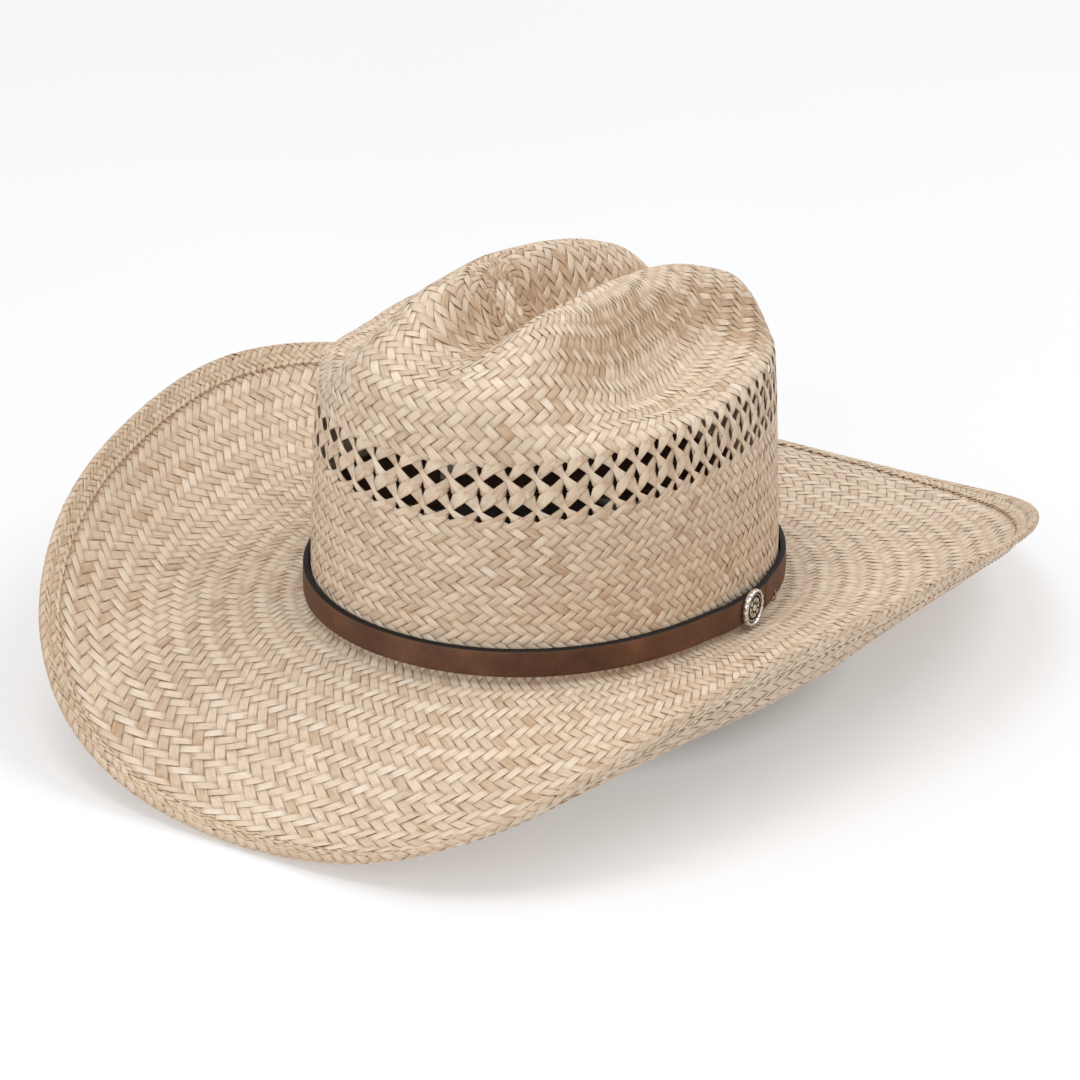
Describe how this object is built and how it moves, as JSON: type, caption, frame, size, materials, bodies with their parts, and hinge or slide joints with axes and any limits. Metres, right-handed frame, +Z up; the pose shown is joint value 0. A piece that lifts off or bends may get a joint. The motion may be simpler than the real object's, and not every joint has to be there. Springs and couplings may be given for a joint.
{
  "type": "cowboy hat",
  "caption": "Western hat of open-vent woven palm straw with a creased crown, side-curled bound brim, dark leather band with a round metal concho, and a leather sweatband inside.",
  "frame": {"origin": "on the ground plane the brim's lowest points stand on, under the centre of the hat's bounding box; the centre of the head opening is 2 mm to +X, 2 mm to -Y and 30 mm above it, level with the line where the crown turns out into the brim", "axes": "+Z up through the crown, -Y towards the front of the hat, +X towards the wearer's left, where the concho is"},
  "size_m": [0.3472, 0.412, 0.1582],
  "materials": {
    "straw": "natural woven palm, satin",
    "binding": "woven straw braid",
    "steel": "plain",
    "thread": "tan sewing thread",
    "band_leather": "smooth, burnished dark edges",
    "concho_metal": "bright rim, darkened relief",
    "sweat_leather": "smooth",
    "ribbon": "grosgrain",
    "label": "plain woven, blank"
  },
  "bodies": {
    "hat": {"straw_body": "straw", "edge_binding": "binding", "brim_wire": "steel", "wire_ferrule": "steel", "binding_stitch_top": "thread", "binding_stitch_under": "thread", "hatband_strap": "band_leather", "hatband_tack_left": "thread", "hatband_tack_right": "thread", "hatband_tack_back": "thread", "sweatband": "sweat_leather", "sweatband_reed": "ribbon", "sweatband_stitch": "thread", "sweatband_seam_tape": "sweat_leather", "sweatband_bow": "ribbon", "size_label": "label"},
    "concho": {"concho_disc": "concho_metal", "concho_screw": "steel"}
  },
  "joints": [
    {"name": "concho_turn", "type": "hinge", "parent": "hat", "child": "concho", "pos_m": [0.0845, 0.00158, 0.03706], "axis": [0.9977, 0.0682, 0], "continuous": true}
  ]
}
